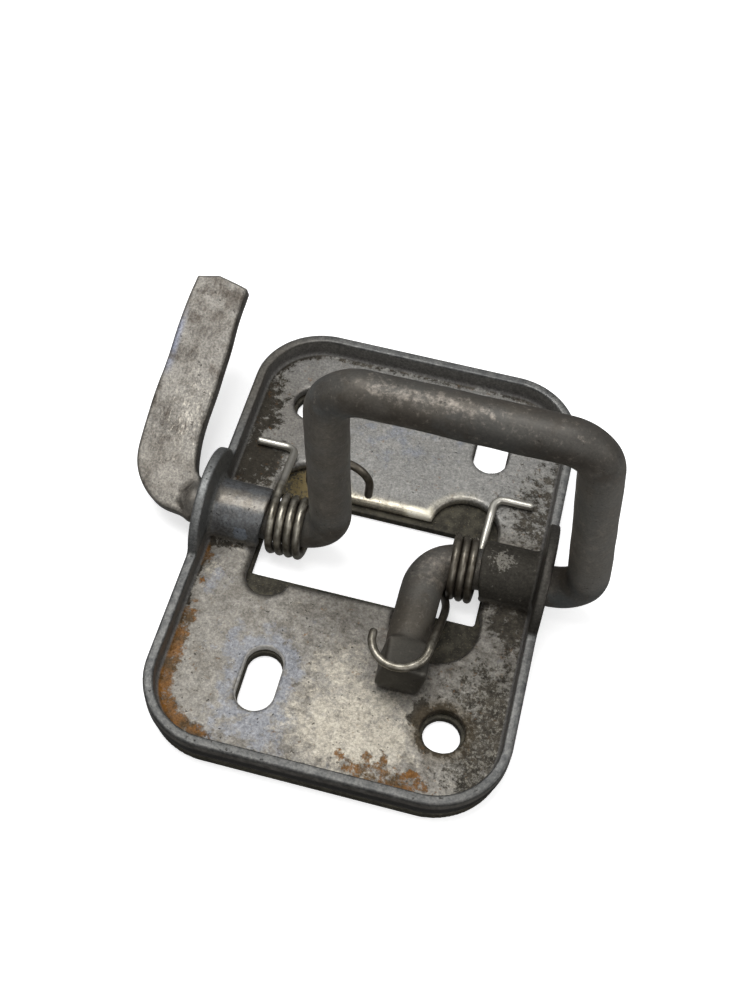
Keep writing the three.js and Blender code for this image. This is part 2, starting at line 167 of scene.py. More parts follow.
def round_rect(x, y, half_w, half_l, r):
    qx = np.abs(x) - half_w + r
    qy = np.abs(y) - half_l + r
    return np.hypot(np.maximum(qx, 0), np.maximum(qy, 0)) + np.minimum(np.maximum(qx, qy), 0) - r


def slot_distance(x, y, centre, half, r):
    along = np.clip(y - centre[1], -half, half)
    return np.hypot(x - centre[0], y - centre[1] - along) - r


def polygon_distance(x, y, outline):
    """Signed distance to a closed outline, negative inside."""
    best = np.full(np.broadcast(x, y).shape, 1e9)
    inside = np.zeros(best.shape, bool)
    for (ax, ay), (bx, by) in zip(outline, np.roll(outline, -1, axis=0)):
        ex, ey = bx - ax, by - ay
        t = np.clip(((x - ax) * ex + (y - ay) * ey) / max(ex * ex + ey * ey, 1e-9), 0, 1)
        best = np.minimum(best, np.hypot(x - ax - t * ex, y - ay - t * ey))
        if ay != by:
            crosses = ((ay > y) != (by > y)) & (x < (by - ay and ex * (y - ay) / ey) + ax)
            inside ^= crosses
    return np.where(inside, -best, best)


def arc(cx, cy, r, start, end, n):
    a = np.radians(np.linspace(start, end, n + 1))
    return np.column_stack([cx + r * np.cos(a), cy + r * np.sin(a)])


def window_outline():
    """Straight ends at the humps and a round scallop in each corner."""
    return np.vstack([
        arc(-22, -12.6, 5, 180, 350, 24),
        arc(18, -14.5, 9.7, 172, 357, 36),
        [(27.6, -12), (27, -9)],
        arc(19, 11.9, 8, 0, 176, 30),
        arc(-19, 11.9, 8, 4, 180, 30),
    ])


def waves(seed, size, count=7):
    """A smooth random field of about unit height whose features are about `size` long."""
    rng = np.random.default_rng(seed)
    turn = rng.normal(size=(count, 3))
    pace = (2 * math.pi / size) * rng.uniform(0.6, 1.5, (count, 1))
    turn *= pace / np.linalg.norm(turn, axis=1)[:, None]
    phase = rng.uniform(0, 2 * math.pi, count)

    def field(x, y, z):
        total = 0
        for k, p in zip(turn, phase):
            total = total + np.sin(k[0] * x + k[1] * y + k[2] * z + p)
        return total / math.sqrt(count)

    return field


# ---- meshes ----
def skin(field, low, step):
    """Closed quad skin over the zero level of a sampled field: one vertex per crossed cell."""
    inside = field < 0
    shape = np.array(field.shape) - 1
    total = np.zeros(shape, np.uint8)
    for i, j, k in np.ndindex(2, 2, 2):
        total += inside[i:shape[0] + i, j:shape[1] + j, k:shape[2] + k]
    mixed = (total > 0) & (total < 8)
    cells = np.argwhere(mixed)
    place = np.zeros((len(cells), 3))
    count = np.zeros(len(cells))
    unit = np.eye(3, dtype=int)
    for axis in range(3):
        for corner in np.ndindex(2, 2, 2):
            if corner[axis]:
                continue
            start = cells + corner
            a = field[tuple(start.T)]
            b = field[tuple((start + unit[axis]).T)]
            crossed = (a < 0) != (b < 0)
            t = np.where(crossed, a / np.where(crossed, a - b, 1), 0)
            place += crossed[:, None] * (np.array(corner) + t[:, None] * unit[axis])
            count += crossed
    points = low + step * (cells + place / count[:, None])
    number = np.full(shape, -1, np.int64)
    number[mixed] = np.arange(len(cells))
    quads = []
    for axis in range(3):
        u, v = unit[(axis + 1) % 3], unit[(axis + 2) % 3]
        ahead = [slice(None)] * 3
        behind = [slice(None)] * 3
        ahead[axis] = slice(1, None)
        behind[axis] = slice(None, -1)
        crossed = inside[tuple(ahead)] != inside[tuple(behind)]
        edges = np.argwhere(crossed)
        edges = edges[(edges @ u > 0) & (edges @ v > 0)]
        out = inside[tuple(edges.T)]
        ring = [edges - u - v, edges - v, edges, edges - u]
        quad = np.column_stack([number[tuple(c.T)] for c in ring])
        quad[~out] = quad[~out][:, ::-1]
        quads.append(quad)
    return points, np.vstack(quads)


def settle(points, field, low, step):
    """Moves skin points onto the field's zero level, once, along its slope."""
    place = (points - low) / step
    base = np.clip(np.floor(place).astype(int), 0, np.array(field.shape) - 2)
    f = place - base
    value = np.zeros(len(points))
    slope = np.zeros((len(points), 3))
    for corner in np.ndindex(2, 2, 2):
        c = np.array(corner)
        weight = np.where(c, f, 1 - f)
        sample = field[tuple((base + c).T)]
        value += weight.prod(axis=1) * sample
        for axis in range(3):
            others = [i for i in range(3) if i != axis]
            slope[:, axis] += (1 if c[axis] else -1) * weight[:, others].prod(axis=1) * sample
    slope /= step
    return points - (value / np.maximum((slope ** 2).sum(axis=1), 0.25))[:, None] * slope


def grid_axes(low, high, step):
    axes = [np.arange(a, b + step, step) for a, b in zip(low, high)]
    return axes[0][:, None, None], axes[1][None, :, None], axes[2][None, None, :]


def make_piece(name, points, faces, material):
    """Mesh object in the row frame from points in the shaft's frame."""
    mesh = bpy.data.meshes.new(name)
    corners = faces if isinstance(faces, list) else faces.tolist()
    mesh.from_pydata(((points + OFFSET) * MM).tolist(), [], corners)
    mesh.validate()
    mesh.shade_smooth()
    mesh.materials.append(material)
    piece = bpy.data.objects.new(name, mesh)
    bpy.context.collection.objects.link(piece)
    return piece


def set_attribute(piece, name, values):
    attribute = piece.data.attributes.new(name, "FLOAT", "POINT")
    attribute.data.foreach_set("value", np.asarray(values, np.float32))


def spread(values, edges, rounds):
    """Averages a value per vertex with its neighbours."""
    n = len(values)
    degree = np.bincount(edges.ravel(), minlength=n) + 1
    for _ in range(rounds):
        total = values.copy()
        total += np.bincount(edges[:, 0], values[edges[:, 1]], minlength=n)
        total += np.bincount(edges[:, 1], values[edges[:, 0]], minlength=n)
        values = total / degree
    return values


def mark_curvature(piece):
    """Stores how sharply the skin bulges (ridge) or sinks (hollow), per mm, on each vertex."""
    mesh = piece.data
    n = len(mesh.vertices)
    co = np.empty(n * 3, np.float32)
    mesh.vertices.foreach_get("co", co)
    co = co.reshape(-1, 3) / MM
    normal = np.empty(n * 3, np.float32)
    mesh.vertex_normals.foreach_get("vector", normal)
    normal = normal.reshape(-1, 3)
    edges = np.empty(len(mesh.edges) * 2, np.int32)
    mesh.edges.foreach_get("vertices", edges)
    edges = edges.reshape(-1, 2)
    step = co[edges[:, 1]] - co[edges[:, 0]]
    length2 = (step ** 2).sum(axis=1)
    rise = np.bincount(edges[:, 0], (step * normal[edges[:, 0]]).sum(axis=1), minlength=n)
    rise -= np.bincount(edges[:, 1], (step * normal[edges[:, 1]]).sum(axis=1), minlength=n)
    reach = np.bincount(edges[:, 0], length2, minlength=n)
    reach = reach + np.bincount(edges[:, 1], length2, minlength=n)
    bulge = np.clip(-4 * rise / np.maximum(reach, 1e-9), -3, 3)
    set_attribute(piece, "ridge", np.maximum(spread(bulge, edges, 2), 0))
    set_attribute(piece, "hollow", np.maximum(spread(-bulge, edges, 8), 0))


# ---- pressed plates ----
def front_field(x, y, z):
    plan = round_rect(x, y - TRAY_Y, TRAY_W / 2, TRAY_L / 2, CORNER_R)
    ear = np.hypot(y - EAR_Y, z - AXIS_Z) - EAR_R
    top = join(z - RIM_TOP, ear, EDGE["ear"])
    outer = cut(plan, UNDER - z, BEND_R)
    floor = z - FLOOR - FLOOR_WAVE * waves(3, 26)(x, y, 0)
    inner = cut(plan + SHEET, -floor, EDGE["pocket"])
    tray = cut(cut(outer, top, EDGE["rim"]), -inner, EDGE["wall"])

    crown = np.hypot(y, z - AXIS_Z) - HUMP_R
    end = np.where(x < 0, HUMP_END["left"], HUMP_END["right"])
    lean = np.where(x < 0, HUMP_LEAN["left"], HUMP_LEAN["right"])
    mouth = end - lean * (z - FLOOR) / (HUMP_R + AXIS_Z - FLOOR) - np.abs(x)
    hump = cut(crown, mouth, EDGE["hump"])
    plate = np.maximum(join(tray, hump, HUMP_FOOT_R), outer)

    channel = np.where(z < AXIS_Z, np.abs(y) - BORE_R, crown + HUMP_R - BORE_R)
    plate = cut(plate, -np.maximum(channel, CRADLE_START - np.abs(x)), EDGE["cradle"])

    window = polygon_distance(x, y, window_outline())
    openings = [(window, EDGE_ROLL)]
    openings += [(np.hypot(x - cx, y - cy) - HOLE_R["front"], HOLE_ROLL) for cx, cy in HOLES]
    openings += [(slot_distance(x, y, c, SLOT_HALF, SLOT_R["front"]), HOLE_ROLL) for c in SLOTS]
    beneath = FLOOR + PRESS_DEPTH - z
    for opening, roll in openings:
        rolled = np.where(opening < roll + 0.2, cut(z - FLOOR, -opening, roll), -1.0)
        plate = np.maximum(plate, np.minimum(rolled, beneath))
        plate = cut(plate, np.minimum(-opening, beneath), EDGE["opening"])
    return plate


def front_plate(material):
    low = np.array([-TRAY_W / 2, TRAY_Y - TRAY_L / 2, UNDER]) - 3 * STEP
    high = np.array([TRAY_W / 2, TRAY_Y + TRAY_L / 2, AXIS_Z + EAR_R]) + 3 * STEP
    x, y, z = grid_axes(low, high, STEP)
    field = front_field(x, y, z)
    points, quads = skin(field, low, STEP)
    points = settle(points, field, low, STEP)
    piece = make_piece("tray_pressing", points, quads, material)
    px, py = points[:, 0], points[:, 1]
    inward = -round_rect(px, py - TRAY_Y, TRAY_W / 2, TRAY_L / 2, CORNER_R)
    set_attribute(piece, "wall", inward - SHEET)
    set_attribute(piece, "lip", polygon_distance(px, py, window_outline()))
    rings = [np.hypot(px - cx, py - cy) - HOLE_R["front"] for cx, cy in HOLES]
    rings += [slot_distance(px, py, c, SLOT_HALF, SLOT_R["front"]) for c in SLOTS]
    set_attribute(piece, "bore", np.min(rings, axis=0))
    mark_curvature(piece)
    return piece


def back_plate(material):
    low = np.array([-TRAY_W / 2, TRAY_Y - TRAY_L / 2, 0]) - 3 * STEP
    high = np.array([TRAY_W / 2, TRAY_Y + TRAY_L / 2, SHEET]) + 3 * STEP
    x, y, z = grid_axes(low, high, STEP)
    inset = BACK_INSET
    plan = round_rect(x, y - TRAY_Y, TRAY_W / 2 - inset, TRAY_L / 2 - inset, CORNER_R - inset)
    middle = (BACK_WINDOW["top"] + BACK_WINDOW["bottom"]) / 2
    half = (BACK_WINDOW["top"] - BACK_WINDOW["bottom"]) / 2
    openings = [round_rect(x, y - middle, BACK_WINDOW["x"], half, 0.8)]
    openings += [np.hypot(x - cx, y - cy) - HOLE_R["back"] for cx, cy in HOLES]
    openings += [slot_distance(x, y, c, SLOT_HALF, SLOT_R["back"]) for c in SLOTS]
    for opening in openings:
        plan = np.maximum(plan, -opening)
    field = cut(cut(plan, z - SHEET, EDGE["back"]), -z, EDGE["back"])
    points, quads = skin(field, low, STEP)
    points = settle(points, field, low, STEP)
    piece = make_piece("backing_sheet", points, quads, material)
    mark_curvature(piece)
    return piece


# ---- swept pieces ----
def unit_vector(v):
    return v / np.linalg.norm(v)


def turned(v, axis, angle):
    """v turned about a unit axis."""
    return (v * math.cos(angle) + np.cross(axis, v) * math.sin(angle)
            + axis * axis.dot(v) * (1 - math.cos(angle)))


def rounded_path(corners, radii, step):
    """Points along a polyline whose inner corners are rounded."""
    corners = [np.array(c, float) for c in corners]
    points = [corners[0]]

    def straight(to):
        start = points[-1]
        n = max(1, round(np.linalg.norm(to - start) / step))
        points.extend(start + (to - start) * i / n for i in range(1, n + 1))

    for i in range(1, len(corners) - 1):
        into = unit_vector(corners[i - 1] - corners[i])
        out = unit_vector(corners[i + 1] - corners[i])
        half = math.acos(np.clip(into.dot(out), -1, 1)) / 2
        r = radii[i - 1]
        start = corners[i] + into * r / math.tan(half)
        centre = corners[i] + unit_vector(into + out) * r / math.sin(half)
        axis = unit_vector(np.cross(into, out))
        turn = math.pi - 2 * half
        straight(start)
        n = max(2, round(turn * r / step))
        points.extend(centre + turned(start - centre, axis, -turn * s / n) for s in range(1, n + 1))
    straight(corners[-1])
    return np.array(points)


def smooth_path(points, step):
    """Centripetal curve through given points, resampled evenly."""
    p = np.array(points, float)
    p = np.vstack([2 * p[0] - p[1], p, 2 * p[-1] - p[-2]])
    knots = np.concatenate([[0], np.cumsum(np.sqrt(np.linalg.norm(np.diff(p, axis=0), axis=1)))])
    fine = []
    for i in range(1, len(p) - 2):
        t0, t1, t2, t3 = knots[i - 1:i + 3]
        t = np.linspace(t1, t2, 12, endpoint=False)[:, None]
        a1 = ((t1 - t) * p[i - 1] + (t - t0) * p[i]) / (t1 - t0)
        a2 = ((t2 - t) * p[i] + (t - t1) * p[i + 1]) / (t2 - t1)
        a3 = ((t3 - t) * p[i + 1] + (t - t2) * p[i + 2]) / (t3 - t2)
        b1 = ((t2 - t) * a1 + (t - t0) * a2) / (t2 - t0)
        b2 = ((t3 - t) * a2 + (t - t1) * a3) / (t3 - t1)
        fine.append(((t2 - t) * b1 + (t - t1) * b2) / (t2 - t1))
    fine = np.vstack(fine + [p[-2:-1]])
    return even(fine, step)


def even(points, step):
    """The same path with evenly spaced points."""
    run = np.concatenate([[0], np.cumsum(np.linalg.norm(np.diff(points, axis=0), axis=1))])
    n = max(2, round(run[-1] / step))
    at = np.linspace(0, run[-1], n + 1)
    return np.column_stack([np.interp(at, run, points[:, i]) for i in range(3)])


def sweep(points, first_up, sides, half_w, half_h, power):
    """Rings of points (n, sides, 3) along a path."""
    along = np.gradient(points, axis=0)
    along /= np.linalg.norm(along, axis=1)[:, None]
    angle = np.arange(sides) / sides * 2 * math.pi
    c, s = np.cos(angle), np.sin(angle)
    up = np.array(first_up, float)
    rings = []
    for i, p in enumerate(points):
        up = unit_vector(up - up.dot(along[i]) * along[i])
        across = np.cross(up, along[i])
        w = half_w[i] * np.sign(c) * np.abs(c) ** (2 / power[i])
        h = half_h[i] * np.sign(s) * np.abs(s) ** (2 / power[i])
        rings.append(p + w[:, None] * across + h[:, None] * up)
    return np.array(rings)


def tube_faces(n, sides):
    """Quads between the rings and a fan at each end, whose centre points come last."""
    faces = []
    for r in range(n - 1):
        for k in range(sides):
            a, b = r * sides + k, r * sides + (k + 1) % sides
            faces.append((a, b, b + sides, a + sides))
    first, last = n * sides, n * sides + 1
    for k in range(sides):
        faces.append((first, (k + 1) % sides, k))
        faces.append((last, (n - 1) * sides + k, (n - 1) * sides + (k + 1) % sides))
    return faces


def close_tube(rings, name, material):
    n, sides, _ = rings.shape
    points = np.vstack([rings.reshape(-1, 3), rings[0].mean(axis=0), rings[-1].mean(axis=0)])
    return make_piece(name, points, tube_faces(n, sides), material), points


def ramp(value, low, high):
    t = np.clip((value - low) / (high - low), 0, 1)
    return t * t * (3 - 2 * t)


def dents(x, y, z):
    """Height in mm of the slow unevenness of forged and bent steel."""
    return 0.045 * waves(11, 9)(x, y, z) + 0.05 * waves(12, 22)(x, y, z)


def handle(material):
    """Flat blade and the round stub that enters the left hump, as one skin."""
    step = BLADE_STEP
    low = np.array([-60.8, -6, -5.6])
    high = np.array([STUB["end"] + 0.6, 57, 5.6])
    u, v, w = grid_axes(low, high, step)
    outline = smooth_path([(x, y, 0) for x, y in BLADE_SIDES], 0.8)[:, :2]
    outline = np.vstack([outline, BLADE_TIP])
    plan = polygon_distance(u[:, :, 0], v[:, :, 0], outline)[:, :, None]
    reach = np.clip(v / PADDLE_END, 0, 1)
    half_t = (PADDLE_T[0] + reach * (PADDLE_T[1] - PADDLE_T[0])) / 2
    blade = cut(plan, np.abs(w) - half_t, PADDLE_EDGE)
    radius = ROD_R - (ROD_R - STUB["r"]) * ramp(-u, -STUB["round"], -STUB["thin"])
    stub = np.hypot(v, w) - radius
    stub = np.maximum(cut(stub, u - STUB["end"], 0.4), STUB["thin"] - 0.6 - u)
    field = join(blade, stub, 1.0)
    c, s = math.cos(PADDLE_ANGLE), math.sin(PADDLE_ANGLE)
    field = field - dents(u, v * c - w * s, AXIS_Z + v * s + w * c)
    points, quads = skin(field, low, step)
    points = settle(points, field, low, step)
    u, v, w = points.T
    points = np.column_stack([u, v * c - w * s, AXIS_Z + v * s + w * c])
    piece = make_piece("flat_handle", points, quads, material)
    set_attribute(piece, "blade", ramp(-u, *BLADE_FADE))
    mark_curvature(piece)
    return piece


def bent_bar(material):
    axis = np.array([0, 0, AXIS_Z])
    head_y = LOOP_TILT * LOOP_H
    arm = -TIP["y"]
    end_z = FLOOR + (TIP["low"] + TIP["high"]) / 2 - AXIS_Z
    points = rounded_path([
        axis + [ROD_START, 0, 0],
        axis + [LEG_LEFT[0], 0, 0],
        axis + [LEG_LEFT[1], head_y, LOOP_H],
        axis + [LEG_RIGHT[1], head_y, LOOP_H],
        axis + [LEG_RIGHT[0], 0, 0],
        axis + [ARM_X, 0, 0],
        axis + [ARM_X, TIP["y"] + TIP["length"] + 3, (arm - TIP["length"] - 3) * ARM_RISE],
        axis + [TIP["x"], TIP["y"], end_z],
    ], [BEND] * 5 + [ARM_DROP_R], BAR_STEP)
    n = len(points)
    half_w = np.full(n, ROD_R)
    half_h = np.full(n, ROD_R)

    # The far end of the stop arm is upset square, and rests flat just above the tray floor.
    run = np.concatenate([[0], np.cumsum(np.linalg.norm(np.diff(points, axis=0), axis=1))])
    left = run[-1] - run
    upset = ramp(TIP["length"] + UPSET["reach"] - left, 0, UPSET["blend"])
    half_w = half_w + upset * (TIP["width"] / 2 - ROD_R)
    half_h = half_h + upset * ((TIP["high"] - TIP["low"]) / 2 - ROD_R)
    power = 2 + upset * UPSET["square"]
    for end, depth in ((run, END_ROUND["start"]), (left, END_ROUND["tip"])):
        t = np.clip(end / depth, 0, 1)
        pinch = depth * (1 - np.sqrt(1 - (1 - t) ** 2))
        half_w = half_w - pinch
        half_h = half_h - pinch
    rings = sweep(points, (0, 0, 1), BAR_SIDES, half_w, half_h, power)

    piece, co = close_tube(rings, "bent_bar", material)
    mesh = piece.data
    normal = np.empty(len(co) * 3, np.float32)
    mesh.vertex_normals.foreach_get("vector", normal)
    co = co + normal.reshape(-1, 3) * dents(*co.T)[:, None]
    resting = co[:, 1] < TIP["y"] + TIP["length"] + 3
    co[resting, 2] = np.maximum(co[resting, 2], FLOOR + SEAT)
    mesh.vertices.foreach_set("co", ((co + OFFSET) * MM).ravel())
    mesh.update()
    set_attribute(piece, "blade", np.zeros(len(co)))
    mark_curvature(piece)
    return piece


def coil_points(coil):
    n = round(abs(coil["to"] - coil["from"]) / 12)
    turned = np.linspace(0, coil["to"] - coil["from"], n + 1)
    a = np.radians(coil["from"] + turned)
    x = coil["x"] + coil["pitch"] * turned / 360
    return np.column_stack([x, coil["r"] * np.cos(a) - coil["sag"], AXIS_Z + coil["r"] * np.sin(a)])


def spring(name, foot, coil, hook, material):
    path = smooth_path(np.vstack([foot, coil, hook]), WIRE_STEP)
    n = len(path)
    size = np.full(n, WIRE_R)
    size[[0, -1]] = WIRE_R * WIRE_END
    rings = sweep(path, (0.1, 0.2, 1), WIRE_SIDES, size, size, np.full(n, 2.0))
    piece, _ = close_tube(rings, name, material)
    return piece


def left_spring(material):
    start = (LEFT["x"], LEFT["r"] - LEFT["sag"] - 1.2, AXIS_Z + LEFT["r"] * 0.93)
    foot = rounded_path([
        (*LEFT_FOOT, TAIL_Z),
        (LEFT["x"] - 1.1, LEFT_FOOT[1], TAIL_Z),
        start,
    ], [2.6], 1.5)[:-1]
    coil = coil_points(LEFT)
    behind = LEFT["r"] - LEFT["sag"] + 0.15
    reach = LEFT_HOOK["r"]
    over = arc(LEG_LEFT[0], FLOOR + LEFT_HOOK["rise"], reach, 180, 0, 16)
    hook = np.vstack([
        [(coil[-1][0] + 0.15, behind, AXIS_Z + 5), (LEG_LEFT[0] - reach, behind, FLOOR + 13)],
        np.column_stack([over[:, 0], np.full(len(over), behind), over[:, 1]]),
        [(LEG_LEFT[0] + reach - 0.1, behind - 0.2, FLOOR + 13)],
    ])
    return spring("spring_wire_left", foot, coil, hook, material)


def right_spring(material):
    start = (RIGHT["x"], RIGHT["r"] / 2 - RIGHT["sag"], AXIS_Z - RIGHT["r"] * 0.93)
    foot = rounded_path([
        (*RIGHT_FOOT, TAIL_Z),
        (RIGHT["x"] + 0.6, RIGHT_FOOT[1], TAIL_Z),
        (RIGHT["x"] + 0.4, RIGHT_FOOT[1] - 5, TAIL_Z + 0.15),
        start,
    ], [2.6, 5], 1.5)[:-1]
    top = FLOOR + TIP["high"] + WIRE_R + 0.5
    beside = TIP["x"] + TIP["width"] / 2 + 0.55
    over = arc(RIGHT_HOOK["x"], RIGHT_HOOK["y"], RIGHT_HOOK["r"], 0, -180, 16)
    hook = np.vstack([
        [(beside - 0.6, -7.8, AXIS_Z - 4), (beside, -11, AXIS_Z - 1.6), (beside, -17, AXIS_Z + 3)],
        np.column_stack([over, np.full(len(over), top)]),
        [(RIGHT_HOOK["x"] - RIGHT_HOOK["r"], RIGHT_HOOK["y"] + 1, top - 0.2)],
    ])
    return spring("spring_wire_right", foot, coil_points(RIGHT), hook, material)


# ---- finishes ----
def srgb(r, g, b):
    """0-255 display colour as a linear RGBA colour."""
    def linear(v):
        v /= 255
        return v / 12.92 if v <= 0.04045 else ((v + 0.055) / 1.055) ** 2.4
    return (linear(r), linear(g), linear(b), 1.0)


class Finish:
    """A material built up from small node helpers. Lengths are in mm in the shaft's frame."""

    def __init__(self, name):
        self.material = bpy.data.materials.new(name)
        self.material.use_nodes = True
        self.tree = self.material.node_tree
        self.tree.nodes.clear()
        coordinates = self.tree.nodes.new("ShaderNodeTexCoord")
        scaled = self.vector("MULTIPLY", coordinates.outputs["Object"], (1000, 1000, 1000))
        self.p = self.vector("SUBTRACT", scaled, tuple(OFFSET))
        parts = self.tree.nodes.new("ShaderNodeSeparateXYZ")
        self.put(parts.inputs[0], self.p)
        self.x, self.y, self.z = parts.outputs

    def put(self, socket, value):
        if isinstance(value, bpy.types.NodeSocket):
            self.tree.links.new(value, socket)
        else:
            socket.default_value = value

    def vector(self, operation, a, b):
        node = self.tree.nodes.new("ShaderNodeVectorMath")
        node.operation = operation
        self.put(node.inputs[0], a)
        self.put(node.inputs[1], b)
        return node.outputs["Vector"]

    def math(self, operation, a, b=0.0, third=0.0, clamp=False):
        node = self.tree.nodes.new("ShaderNodeMath")
        node.operation = operation
        node.use_clamp = clamp
        self.put(node.inputs[0], a)
        self.put(node.inputs[1], b)
        self.put(node.inputs[2], third)
        return node.outputs[0]

    def noise(self, size, detail=4.0, rough=0.55, seed=0.0, at=None):
        """Noise whose features are about `size` mm long."""
        node = self.tree.nodes.new("ShaderNodeTexNoise")
        where = self.vector("ADD", at or self.p, (seed * 37.1, seed * -11.7, seed * 5.3))
        self.put(node.inputs["Vector"], where)
        self.put(node.inputs["Scale"], 1.0 / size)
        self.put(node.inputs["Detail"], detail)
        self.put(node.inputs["Roughness"], rough)
        return node.outputs["Fac"]

    def warped(self, size, amount, seed=0.0):
        """The position pushed about by noise, so that edges drawn with it are ragged."""
        node = self.tree.nodes.new("ShaderNodeTexNoise")
        where = self.vector("ADD", self.p, (seed * 9.1, seed * 4.7, seed * -6.3))
        self.put(node.inputs["Vector"], where)
        self.put(node.inputs["Scale"], 1.0 / size)
        self.put(node.inputs["Detail"], 5.0)
        self.put(node.inputs["Roughness"], 0.65)
        push = self.vector("SUBTRACT", node.outputs["Color"], (0.5, 0.5, 0.5))
        return self.vector("ADD", self.p, self.vector("MULTIPLY", push, (amount, amount, amount)))

    def band(self, value, low, high):
        """0 at low and below, 1 at high and above, smooth between; low may be the larger."""
        node = self.tree.nodes.new("ShaderNodeMapRange")
        node.interpolation_type = "SMOOTHSTEP"
        self.put(node.inputs["Value"], value)
        self.put(node.inputs["From Min"], low)
        self.put(node.inputs["From Max"], high)
        return node.outputs["Result"]

    def spot(self, at, centre, radius, soft, squash=(1, 1, 1)):
        """1 inside an ellipsoid, fading over `soft` mm."""
        away = self.vector("MULTIPLY", self.vector("SUBTRACT", at, centre), squash)
        node = self.tree.nodes.new("ShaderNodeVectorMath")
        node.operation = "LENGTH"
        self.put(node.inputs[0], away)
        return self.band(node.outputs["Value"], radius + soft, radius - soft)

    def patchy(self, zone, noise, depth=2.4, sharp=0.07):
        """A soft zone broken up into flakes that thin out towards its edge."""
        broken = self.math("MULTIPLY_ADD", self.math("SUBTRACT", noise, 0.5), depth, third=zone)
        return self.band(broken, 0.5 - sharp, 0.5 + sharp)

    def most(self, *values):
        result = values[0]
        for value in values[1:]:
            result = self.math("MAXIMUM", result, value)
        return result

    def both(self, *values):
        """Product of masks and weights."""
        result = values[0]
        for value in values[1:]:
            result = self.math("MULTIPLY", result, value)
        return result

    def attribute(self, name):
        node = self.tree.nodes.new("ShaderNodeAttribute")
        node.attribute_name = name
        return node.outputs["Fac"]

    def mix(self, amount, a, b, blend="MIX"):
        node = self.tree.nodes.new("ShaderNodeMix")
        node.data_type = "RGBA"
        node.blend_type = blend
        self.put(node.inputs[0], amount)
        self.put(node.inputs[6], a)
        self.put(node.inputs[7], b)
        return node.outputs[2]

    def paint(self, base, mask, strength, tone):
        """Lays a tone over the base colour where the mask is."""
        return self.mix(self.both(mask, strength), base, tone)

    def blend_value(self, amount, a, b):
        node = self.tree.nodes.new("ShaderNodeMix")
        node.data_type = "FLOAT"
        self.put(node.inputs[0], amount)
        self.put(node.inputs[2], a)
        self.put(node.inputs[3], b)
        return node.outputs[0]

    def finish(self, colour, roughness, height, relief, metallic):
        """Output shader; relief is the depth in mm that height 1 stands for."""
        bump = self.tree.nodes.new("ShaderNodeBump")
        self.put(bump.inputs["Height"], height)
        bump.inputs["Distance"].default_value = relief * MM
        shader = self.tree.nodes.new("ShaderNodeBsdfPrincipled")
        self.put(shader.inputs["Base Color"], colour)
        self.put(shader.inputs["Roughness"], roughness)
        self.put(shader.inputs["Metallic"], metallic)
        self.put(shader.inputs["Normal"], bump.outputs["Normal"])
        output = self.tree.nodes.new("ShaderNodeOutputMaterial")
        self.put(output.inputs["Surface"], shader.outputs[0])
        return self.material


